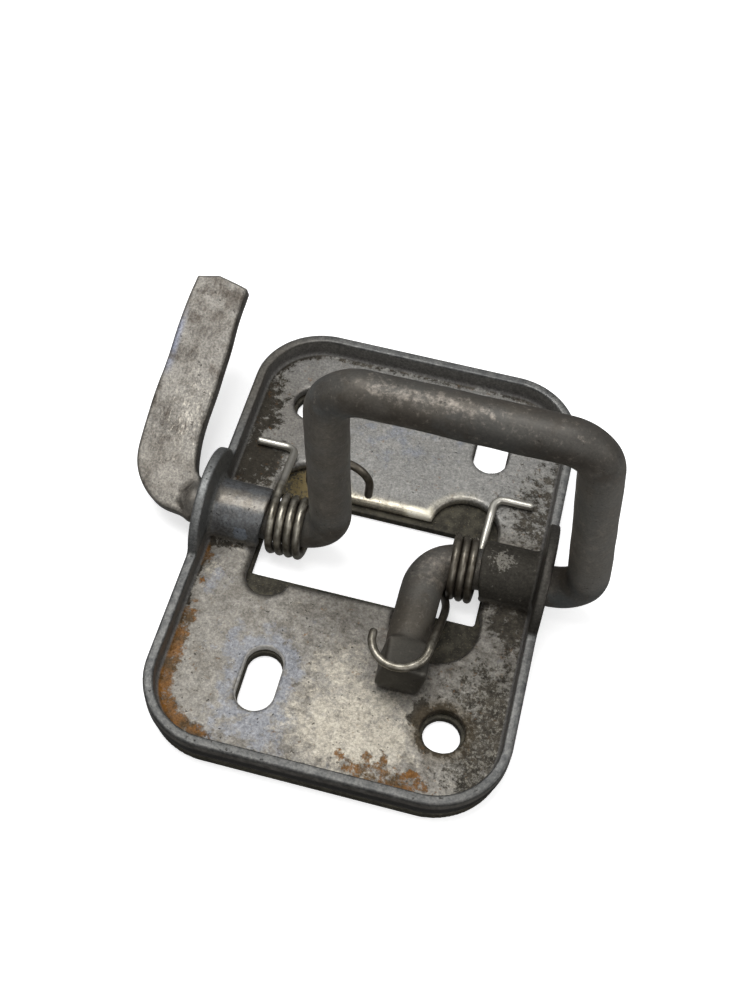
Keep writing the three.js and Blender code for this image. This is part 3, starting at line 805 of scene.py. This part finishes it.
def tray_finish():
    f = Finish("worn_plate_steel")
    ragged = f.warped(5, 7)
    frayed = f.warped(2.2, 3.5, 3)
    broad = f.noise(15, 4, 0.5, 1)
    mottle = f.noise(2.6, 8, 0.68, 2)
    grain = f.noise(0.55, 4, 0.7, 3)
    flake = f.noise(2.1, 9, 0.76, 6)
    fine = f.noise(0.9, 6, 0.72, 10)
    wall = f.attribute("wall")

    # Bare, lightly rubbed metal, bluish in places.
    colour = f.mix(f.band(mottle, 0.36, 0.62), srgb(96, 92, 86), srgb(142, 139, 134))
    colour = f.paint(colour, f.band(broad, 0.38, 0.66), 0.6, srgb(146, 143, 137))
    cloud = f.band(f.noise(6, 7, 0.62, 15), 0.52, 0.34)
    colour = f.paint(colour, cloud, 0.5, srgb(104, 99, 92))
    far = f.band(f.y, 10, 18)
    colour = f.paint(colour, far, 0.6, srgb(162, 163, 163))
    bore = f.attribute("bore")
    left_half = f.band(f.x, 4, -8)
    blue_zone = f.most(
        f.both(f.band(bore, 7.5, 1.0), left_half, f.band(f.y, 0, -10)),
        f.spot(ragged, (-33, -17, FLOOR), 3, 2.5),
        f.spot(ragged, (-25, -31, FLOOR), 4, 4),
        f.spot(ragged, (-15, -49, FLOOR), 6, 5, (0.7, 1, 1)),
        f.both(f.spot(ragged, (-2, 36, FLOOR), 12, 9), 0.6),
    )
    blue = f.patchy(f.both(blue_zone, 0.68), f.noise(3.4, 7, 0.66, 5), 2.6, 0.22)
    colour = f.paint(colour, blue, 0.62, srgb(134, 139, 150))
    bare_zone = f.most(
        f.spot(ragged, (6, -44, FLOOR), 11, 8, (0.8, 1, 1)),
        f.spot(ragged, (0, -31, FLOOR), 5, 7),
        f.spot(ragged, (15, -45, FLOOR), 5, 4),
        f.both(f.spot(ragged, (-34, -15, FLOOR), 2, 2), 0.9),
    )
    bare = f.patchy(f.both(bare_zone, 0.75), f.noise(1.8, 8, 0.72, 7), 2.4, 0.35)
    colour = f.paint(colour, bare, 0.75, srgb(188, 182, 169))

    wash = f.spot(ragged, (-29, 33, FLOOR), 10, 9, (1, 0.7, 1))
    colour = f.paint(colour, wash, 0.55, srgb(104, 99, 92))

    # Brown-black grime: nearly solid by the right wall and round the lower right hole,
    # breaking up into flakes of clean metal further in. Painted shade joins it along the
    # far wall's foot and in the hollows.
    grime_and_shade_zone = f.most(
        f.spot(ragged, (38, -6, FLOOR + 2), 11, 8),
        f.both(f.spot(ragged, (35, -39, FLOOR), 9.5, 8, (1, 0.55, 1)), 0.95),
        f.spot(frayed, (25.1, -39.9, FLOOR), 6.6, 2.2),
        f.spot(frayed, (19.5, -37.5, FLOOR), 2.6, 1.8, (1, 0.6, 1)),
        f.both(f.spot(ragged, (31, -29, FLOOR), 9, 8), 0.68),
        f.both(f.spot(ragged, (36, 20, FLOOR), 9, 8, (1, 0.6, 1)), 0.76),
        f.spot(ragged, (-34, 17, FLOOR), 8, 5),
        f.spot(ragged, (-38, 33, FLOOR), 6, 5, (1, 0.5, 1)),
        # painted shade along the far wall's foot and in the hollows
        f.both(f.both(f.band(wall, 3.4, 0.4), far), 0.75),
        f.both(f.attribute("hollow"), 1.5),
    )
    grime_and_shade = f.patchy(f.both(grime_and_shade_zone, 0.8), flake, 2.6, 0.16)
    grime_and_shade = f.both(grime_and_shade, f.band(f.z, FLOOR + 3, FLOOR + 1))
    grime_and_shade_colour = f.mix(f.band(mottle, 0.35, 0.65), srgb(56, 52, 46), srgb(92, 86, 76))
    flaked = f.band(grime_and_shade_zone, 0.3, 0.6)
    colour = f.paint(colour, flaked, 0.35, srgb(140, 138, 132))
    colour = f.paint(colour, grime_and_shade, 0.9, grime_and_shade_colour)
    # grime and painted shade, darker still on the left
    left_dirt_and_shade = f.both(grime_and_shade, f.band(f.x, -26, -31))
    colour = f.paint(colour, left_dirt_and_shade, 0.75, srgb(58, 54, 47))
    chips = f.spot(ragged, (34, -40, FLOOR), 9, 7, (1, 0.6, 1))
    chips = f.patchy(chips, f.noise(0.8, 7, 0.78, 16), 3.4, 0.12)
    chips = f.both(chips, grime_and_shade, f.band(f.noise(0.8, 7, 0.78, 17), 0.5, 0.6))
    colour = f.paint(colour, chips, 0.8, srgb(168, 165, 156))
    brown = f.both(f.band(bore, 3.4, 1.2), f.band(f.x, 10, 16), f.band(f.y, -26, -32))
    colour = f.paint(colour, brown, 0.5, srgb(78, 66, 46))

    # Orange rust on the floor: a crescent in the lower left corner, clumps along the
    # near edge and specks by the left ear.
    on_floor = f.both(f.band(f.z, FLOOR + 1.6, FLOOR + 0.6), f.band(wall, 0.1, 0.6))
    rust_zone = f.most(
        f.both(f.spot(ragged, (-35, -44, FLOOR), 14, 3, (1, 0.72, 1)), f.band(wall, 5.0, 2.3)),
        f.both(f.spot(frayed, (16, -53.2, FLOOR), 8, 3, (0.8, 3, 1)), 0.7),
        f.spot(frayed, (5.2, -50.7, FLOOR), 0.9, 0.6),
        f.spot(frayed, (10.6, -50.0, FLOOR), 1.3, 0.8),
        f.spot(frayed, (14.2, -49.8, FLOOR), 1.3, 0.8, (1.4, 0.8, 1)),
        f.spot(frayed, (20.6, -51.0, FLOOR), 1.4, 0.8),
        f.spot(frayed, (-37.3, -11.4, FLOOR), 1.5, 0.9, (1, 0.5, 1)),
        f.spot(frayed, (-36.3, -18.4, FLOOR), 0.8, 0.5),
    )
    rust = f.patchy(f.both(rust_zone, 0.78), f.noise(1.5, 8, 0.72, 8), 2.9, 0.26)
    rust = f.both(rust, on_floor)
    rust_tone = f.band(f.noise(3.0, 5, 0.6, 9), 0.36, 0.6)
    rust_colour = f.mix(rust_tone, srgb(96, 72, 38), srgb(148, 100, 40))
    colour = f.paint(colour, rust, 0.8, rust_colour)

    # Humps: a painted highlight near the left one's crown and on the right one's top, dark
    # elsewhere.
    hump = f.both(f.band(f.z, FLOOR + 1.6, FLOOR + 3.5), f.band(wall, 0.3, 1.2))
    left_hump = f.both(hump, f.band(f.x, -10, -12))
    right_hump = f.both(hump, f.band(f.x, 10, 12))
    hump_colour = f.mix(f.band(mottle, 0.36, 0.64), srgb(108, 109, 111), srgb(124, 128, 133))
    colour = f.paint(colour, left_hump, 0.9, hump_colour)
    # painted warm highlight near the left hump's crown, with lower roughness there
    crown = f.both(left_hump, f.band(f.y, -3.6, -2.0), f.band(f.y, 2.4, 0.8))
    crown = f.both(crown, f.band(f.noise(2.6, 5, 0.6, 14), 0.22, 0.52))
    colour = f.paint(colour, crown, 0.35, srgb(150, 138, 118))
    chip = f.patchy(f.spot(frayed, (-30.5, -6.4, AXIS_Z + 1.5), 1.9, 1.2), flake, 1.6, 0.1)
    chip = f.both(left_hump, chip)
    colour = f.paint(colour, chip, 0.7, srgb(150, 160, 176))
    colour = f.paint(colour, right_hump, 0.9, srgb(70, 67, 61))
    # painted highlight, broken into specks, on the right hump's top
    speckled_highlight = f.patchy(f.spot(frayed, (29.5, -0.5, AXIS_Z + 7), 1.8, 3.4), fine, 3.0, 0.15)
    speckled_highlight = f.both(right_hump, speckled_highlight)
    colour = f.paint(colour, speckled_highlight, 0.75, srgb(160, 157, 150))

    # Walls: grey rolled edge, dark inside, and painted shade below it outside.
    in_wall = f.band(wall, 0.9, 0.3)
    rim = f.both(in_wall, f.band(f.z, RIM_TOP - 1.1, RIM_TOP - 0.35))
    rim_colour = f.mix(f.band(mottle, 0.36, 0.64), srgb(92, 94, 96), srgb(122, 123, 123))
    near_rim = f.band(f.y, -48, -54)
    rim_colour = f.paint(rim_colour, near_rim, 0.35, srgb(84, 84, 82))
    side_rim = f.both(f.band(wall, -1.4, -1.0), f.band(f.y, -44, -40), f.band(f.x, 30, 36))
    rim_colour = f.paint(rim_colour, side_rim, 0.5, srgb(146, 146, 145))
    dull_rim = f.spot(ragged, (-36, 40, RIM_TOP), 16, 10)
    rim_colour = f.mix(dull_rim, rim_colour, srgb(98, 95, 90))
    colour = f.paint(colour, rim, 0.9, rim_colour)
    inside = f.both(in_wall, f.band(wall, -0.8, -0.3), f.band(f.z, RIM_TOP - 0.3, RIM_TOP - 0.9))
    colour = f.paint(colour, inside, 0.9, srgb(126, 125, 124))
    # painted shade on the lower part of the outer wall
    shaded_skirt = f.both(f.band(wall, -1.5, -2.1), f.band(f.z, RIM_TOP - 1.9, RIM_TOP - 2.9))
    colour = f.paint(colour, shaded_skirt, 0.9, srgb(46, 45, 43))
    ear = f.both(in_wall, f.band(f.z, RIM_TOP + 0.3, RIM_TOP + 1.5))
    ear_colour = f.mix(f.band(f.x, -10, 10), srgb(130, 132, 133), srgb(74, 71, 66))
    colour = f.paint(colour, ear, 0.9, ear_colour)
    # painted light on the walls of the lower left slot, which lie in shade; less metallic there
    lit_slot_wall = f.both(f.band(bore, 0.5, 0.1), f.band(f.x, 4, -4), f.band(f.y, 0, -10))
    colour = f.paint(colour, lit_slot_wall, 0.9, srgb(214, 212, 208))

    # The window's far edge is burnished and carries a painted highlight, most of all along its
    # straight part.
    lip = f.both(f.band(f.attribute("lip"), 2.8, 1.1), f.band(f.x, -13, -10), f.band(f.y, 4, 8))
    lip = f.both(lip, f.band(mottle, 0.28, 0.5), f.band(f.x, 23, 17))
    straight = f.blend_value(f.band(f.x, 7, 11), 0.75, 0.35)
    colour = f.mix(f.both(lip, straight), colour, srgb(206, 199, 180))
    # a painted near-white highlight on the window's far edge, right of the middle
    lip_glint = f.spot(f.p, (8.0, 12.4, FLOOR - 0.7), 3.4, 1.4)
    lip_glint = f.both(lip_glint, f.band(f.attribute("lip"), 2.6, 1.5))
    colour = f.paint(colour, lip_glint, 0.95, srgb(244, 239, 224))

    pitted = f.band(f.noise(0.9, 2, 0.5, 4), 0.33, 0.25)
    colour = f.paint(colour, pitted, 0.6, srgb(52, 49, 44))
    speckle = f.mix(f.band(grain, 0.32, 0.68), srgb(70, 68, 64), srgb(222, 220, 214))
    colour = f.mix(0.32, colour, speckle, "OVERLAY")
    speckle = f.mix(f.band(fine, 0.34, 0.66), srgb(96, 92, 86), srgb(206, 204, 199))
    colour = f.mix(0.3, colour, speckle, "OVERLAY")

    roughness = f.blend_value(f.most(grime_and_shade, rust, right_hump), 0.48, 0.7)
    roughness = f.blend_value(f.both(lip, straight), roughness, 0.3)
    roughness = f.blend_value(crown, roughness, 0.42)
    height = f.math("ADD", f.both(mottle, 0.4), f.both(grain, 0.3))
    height = f.math("ADD", height, f.both(f.most(rust, grime_and_shade), 0.25))
    height = f.math("SUBTRACT", height, f.both(pitted, 0.6))
    metallic = f.blend_value(f.most(lit_slot_wall, lip_glint), 0.8, 0.2)
    return f.finish(colour, roughness, height, 0.12, metallic)


def backing_finish():
    f = Finish("dull_plate_steel")
    mottle = f.noise(2.4, 8, 0.7, 11)
    grain = f.noise(0.5, 3, 0.6, 12)
    colour = f.mix(f.band(mottle, 0.35, 0.68), srgb(50, 47, 40), srgb(84, 80, 68))
    corner = f.spot(f.warped(3, 4, 2), (-19, 15, SHEET), 5, 6)
    corner = f.patchy(corner, f.noise(0.9, 6, 0.74, 13), 3.2, 0.2)
    colour = f.paint(colour, corner, 0.75, srgb(128, 112, 72))
    flecks = f.band(grain, 0.58, 0.7)
    colour = f.paint(colour, flecks, 0.45, srgb(128, 122, 102))
    colour = f.paint(colour, f.band(f.attribute("ridge"), 0.4, 1.6), 0.5, srgb(84, 81, 74))
    height = f.math("ADD", mottle, f.both(grain, 0.4))
    return f.finish(colour, f.blend_value(mottle, 0.75, 0.6), height, 0.07, 0.6)


def bar_finish():
    f = Finish("bar_steel")
    ragged = f.warped(4, 5)
    mottle = f.noise(4.5, 6, 0.6, 21)
    grain = f.noise(0.5, 4, 0.62, 22)
    broad = f.noise(14, 3, 0.5, 23)
    flake = f.noise(1.4, 7, 0.7, 24)
    blade = f.attribute("blade")
    crossbar = AXIS_Z + LOOP_H + ROD_R

    # The round bar: dark, smooth and slightly blue in places, with a few rubbed specks that also
    # carry a painted highlight.
    dark = f.mix(f.band(mottle, 0.34, 0.68), srgb(88, 83, 76), srgb(120, 115, 107))
    dark = f.paint(dark, f.band(broad, 0.42, 0.62), 0.8, srgb(104, 107, 107))
    brown = f.band(f.noise(7, 6, 0.62, 29), 0.5, 0.64)
    dark = f.paint(dark, brown, 0.55, srgb(80, 71, 60))
    sooty = f.both(f.band(f.z, crossbar - 7, crossbar - 2), f.band(f.x, -12, -4))
    dark = f.paint(dark, sooty, 0.45, srgb(66, 62, 56))
    low_arm = f.both(f.band(f.y, -11, -17), f.band(f.z, AXIS_Z + 12, AXIS_Z + 8))
    dark = f.paint(dark, low_arm, 0.6, srgb(70, 67, 60))
    arm = f.both(f.band(f.z, AXIS_Z + 12, AXIS_Z + 7), f.band(f.x, 4, 8), f.band(f.x, 24, 20))
    dark = f.paint(dark, arm, 0.5, srgb(98, 91, 81))
    across = f.band(f.z, crossbar - 9, crossbar - 4)
    dark = f.paint(dark, across, 0.42, srgb(76, 71, 64))
    far_bend = f.both(across, f.band(f.x, 24, 32))
    dark = f.paint(dark, far_bend, 0.3, srgb(72, 67, 61))
    legs = f.both(f.band(f.z, AXIS_Z + 7, AXIS_Z + 13), f.band(f.z, crossbar - 6, crossbar - 13))
    dark = f.paint(dark, legs, 0.48, srgb(142, 138, 131))
    # painted light on the right leg's right side
    right_side = f.both(legs, f.band(f.x, 43, 48))
    dark = f.paint(dark, right_side, 0.4, srgb(152, 148, 141))
    # rubbed specks with a painted highlight on the crossbar's top, the shaft and the right leg
    rubbed_and_highlit = f.most(
        f.spot(ragged, (0, -3, crossbar), 1, 2.6, (0.5, 1, 1)),
        f.spot(ragged, (20, -3.5, crossbar), 0.8, 2.2, (0.6, 1, 1)),
        f.both(f.spot(ragged, (10, -3.4, crossbar), 3.4, 2.2, (0.3, 1.8, 1)), 0.55),
        f.both(f.spot(ragged, (15.5, -5, AXIS_Z + ROD_R), 4, 4), 0.7),
        f.both(f.spot(ragged, (46, -3, AXIS_Z + 30), 4, 6, (1, 1, 0.4)), 0.5),
    )
    rubbed_and_highlit = f.patchy(f.both(rubbed_and_highlit, 0.62), flake, 2.6, 0.42)
    dark = f.paint(dark, rubbed_and_highlit, 0.6, srgb(182, 172, 160))

    # The blade: brighter, brownish and finely grained.
    light = f.band(f.noise(5.5, 8, 0.66, 26), 0.38, 0.6)
    light = f.mix(light, srgb(76, 70, 64), srgb(126, 123, 118))
    drawn = f.vector("MULTIPLY", f.p, (2.0, 0.6, 0.6))
    fine = f.band(f.noise(1.3, 6, 0.7, 27, drawn), 0.36, 0.62)
    light = f.paint(light, fine, 0.36, srgb(150, 147, 141))
    glint_zone = f.spot(ragged, (-50.5, 19, AXIS_Z + 8), 4.5, 8, (1.3, 0.42, 1))
    glint = f.patchy(f.both(glint_zone, 0.5), f.noise(1.2, 7, 0.75, 28, drawn), 3.0, 0.3)
    light = f.paint(light, glint, 0.65, srgb(184, 179, 168))
    smear = f.both(f.band(f.x, -56.9, -58.6), f.band(f.y, 24, 30), f.band(f.y, 44, 38))
    light = f.paint(light, f.both(smear, f.band(mottle, 0.3, 0.5)), 0.7, srgb(128, 134, 154))
    heel = f.band(f.y, 13, 5)
    light = f.paint(light, heel, 0.4, srgb(148, 144, 137))
    blotch = f.band(f.noise(8.5, 6, 0.6, 34), 0.55, 0.66)
    light = f.paint(light, blotch, 0.5, srgb(70, 63, 56))
    stain = f.spot(ragged, (-52.5, 38, AXIS_Z + 15), 2.5, 4)
    light = f.paint(light, stain, 0.3, srgb(76, 71, 66))
    colour = f.mix(blade, dark, light)

    # painted shade over the stop arm's squared tip
    tip_shade = f.spot(f.p, (TIP["x"], TIP["y"] + 2, FLOOR + 5), 8.5, 1.5)
    colour = f.paint(colour, tip_shade, 0.75, srgb(60, 58, 52))
    ridge = f.both(f.band(f.attribute("ridge"), 0.45, 1.2), f.band(flake, 0.4, 0.6))
    colour = f.paint(colour, ridge, 0.35, srgb(150, 146, 138))
    # painted shade in the hollows of the bends
    hollow = f.band(f.attribute("hollow"), 0.02, 0.2)
    colour = f.paint(colour, hollow, 0.6, srgb(56, 51, 45))
    pits = f.band(f.noise(1.0, 2, 0.5, 25), 0.32, 0.25)
    colour = f.paint(colour, pits, 0.5, srgb(50, 46, 41))
    speckle = f.mix(f.band(grain, 0.35, 0.65), srgb(80, 78, 74), srgb(216, 213, 206))
    colour = f.mix(f.blend_value(blade, 0.16, 0.4), colour, speckle, "OVERLAY")
    roughness = f.blend_value(f.most(rubbed_and_highlit, glint), f.blend_value(mottle, 0.56, 0.44), 0.4)
    height = f.math("ADD", f.both(mottle, 0.4), f.both(grain, 0.3))
    height = f.math("SUBTRACT", height, f.both(pits, 0.5))
    return f.finish(colour, roughness, height, 0.1, f.blend_value(blade, 0.5, 0.75))


def wire_finish():
    f = Finish("spring_wire")
    mottle = f.noise(2.2, 6, 0.6, 31)
    grain = f.noise(0.4, 3, 0.6, 32)
    colour = f.mix(f.band(mottle, 0.35, 0.65), srgb(112, 107, 96), srgb(168, 163, 151))
    right_coil = f.both(f.band(f.x, 10, 14), f.band(f.y, 8, 4), f.band(f.z, AXIS_Z + 9, AXIS_Z + 7))
    colour = f.paint(colour, right_coil, 0.6, srgb(88, 80, 70))
    rust = f.patchy(f.spot(f.p, (-18, 0, AXIS_Z), 5, 4), f.noise(1.3, 6, 0.7, 33), 2.0, 0.1)
    colour = f.paint(colour, rust, 0.5, srgb(110, 76, 44))
    # painted shade on the left hook where it runs behind the leg
    behind = f.both(f.band(f.x, -16, -13), f.band(f.x, 2, 0), f.band(f.y, 2, 4))
    colour = f.paint(colour, behind, 0.7, srgb(96, 88, 76))
    # painted highlight along the tails that lie on the floor
    tail = f.both(f.band(f.y, 6, 10), f.most(f.band(f.x, -18, -20), f.band(f.x, 20, 22)))
    colour = f.paint(colour, tail, 0.8, srgb(206, 203, 194))
    height = f.math("ADD", f.both(mottle, 0.4), f.both(grain, 0.3))
    return f.finish(colour, f.blend_value(mottle, 0.42, 0.3), height, 0.05, 0.92)


def floor_finish():
    material = bpy.data.materials.new("pale_floor")
    material.use_nodes = True
    shader = material.node_tree.nodes["Principled BSDF"]
    shader.inputs["Base Color"].default_value = (0.9, 0.9, 0.9, 1)
    shader.inputs["Roughness"].default_value = 0.9
    shader.inputs["Specular IOR Level"].default_value = 0.1
    shader.inputs["Emission Color"].default_value = (1, 1, 1, 1)
    shader.inputs["Emission Strength"].default_value = 0.55
    return material


# ---- camera, stage and light ----
CAMERA_AT = (26.897, -155.012, FLOOR + 261.656)
CAMERA_TURN = (33.1458, -2.5914, 14.1206)
CAMERA_LENS = 47.153
FLOOR_REACH = 4.0
SKY = (0.14, 0.6)


def make_camera():
    """The viewpoint: high on the stop arm's side, a little to the right, slightly rolled."""
    data = bpy.data.cameras.new("camera")
    data.sensor_width = 36
    data.sensor_height = 36
    data.sensor_fit = "AUTO"
    data.lens = CAMERA_LENS
    data.clip_start = 0.01
    data.dof.use_dof = False
    camera = bpy.data.objects.new("camera", data)
    place = np.array(CAMERA_AT) + OFFSET
    turn = Euler([math.radians(v) for v in CAMERA_TURN], "XYZ")
    camera.matrix_world = Matrix.Translation(Vector(place * MM)) @ turn.to_matrix().to_4x4()
    bpy.context.collection.objects.link(camera)
    bpy.context.scene.camera = camera


def make_floor():
    mesh = bpy.data.meshes.new("floor")
    r = FLOOR_REACH
    mesh.from_pydata([(-r, -r, 0), (r, -r, 0), (r, r, 0), (-r, r, 0)], [], [(0, 1, 2, 3)])
    mesh.materials.append(floor_finish())
    floor = bpy.data.objects.new("floor", mesh)
    bpy.context.collection.objects.link(floor)
    floor.visible_glossy = False
    floor.visible_diffuse = False


def area_light(name, azimuth, elevation, distance, size, power):
    """Soft light aimed at the latch; azimuth 0 is behind it (+Y), 90 on its right."""
    data = bpy.data.lights.new(name, "AREA")
    data.shape = "DISK"
    data.size = size
    data.energy = power
    light = bpy.data.objects.new(name, data)
    a, e = math.radians(azimuth), math.radians(elevation)
    toward = Vector((math.sin(a) * math.cos(e), math.cos(a) * math.cos(e), math.sin(e)))
    light.location = toward * distance
    light.rotation_euler = toward.to_track_quat("Z", "Y").to_euler()
    bpy.context.collection.objects.link(light)


def make_light():
    area_light("overhead", azimuth=-60, elevation=78, distance=1.1, size=0.7, power=6.5)
    area_light("front_fill", azimuth=165, elevation=40, distance=1.6, size=1.2, power=3.4)
    area_light("right_fill", azimuth=95, elevation=28, distance=1.4, size=0.9, power=3.2)
    world = bpy.data.worlds.new("studio")
    world.use_nodes = True
    nodes, links = world.node_tree.nodes, world.node_tree.links
    background = nodes["Background"]
    place = nodes.new("ShaderNodeTexCoord")
    parts = nodes.new("ShaderNodeSeparateXYZ")
    rise = nodes.new("ShaderNodeMapRange")
    rise.inputs["From Min"].default_value = -0.1
    rise.inputs["From Max"].default_value = 1.0
    rise.inputs["To Min"].default_value = SKY[0]
    rise.inputs["To Max"].default_value = SKY[1]
    links.new(place.outputs["Generated"], parts.inputs[0])
    links.new(parts.outputs["Z"], rise.inputs["Value"])
    links.new(rise.outputs["Result"], background.inputs["Strength"])
    background.inputs["Color"].default_value = (1, 1, 1, 1)
    seen = nodes.new("ShaderNodeBackground")
    seen.inputs["Color"].default_value = (1, 1, 1, 1)
    path = nodes.new("ShaderNodeLightPath")
    choose = nodes.new("ShaderNodeMixShader")
    links.new(path.outputs["Is Camera Ray"], choose.inputs[0])
    links.new(background.outputs[0], choose.inputs[1])
    links.new(seen.outputs[0], choose.inputs[2])
    links.new(choose.outputs[0], nodes["World Output"].inputs["Surface"])
    bpy.context.scene.world = world
    bpy.context.scene.view_settings.view_transform = "Standard"


# ---- assembly ----
make_camera()
make_floor()
make_light()

wire = wire_finish()
tray = front_plate(tray_finish())
backing = back_plate(backing_finish())
steel = bar_finish()
bar = bent_bar(steel)
grip = handle(steel)
left = left_spring(wire)
right = right_spring(wire)

for piece, node, body, slot in (
    (tray, "front_plate", "plates", "worn_plate_steel"),
    (backing, "back_plate", "plates", "dull_plate_steel"),
    (bar, "toggle_bar", "bar", "bar_steel"),
    (grip, "toggle_bar", "bar", "bar_steel"),
):
    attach(piece, body)
    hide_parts(node)
for piece, node, start, end in (
    (left, "left_spring", LEFT["x"], -17.2),
    (right, "right_spring", RIGHT["x"], 19.6),
):
    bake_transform(piece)
    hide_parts(node)
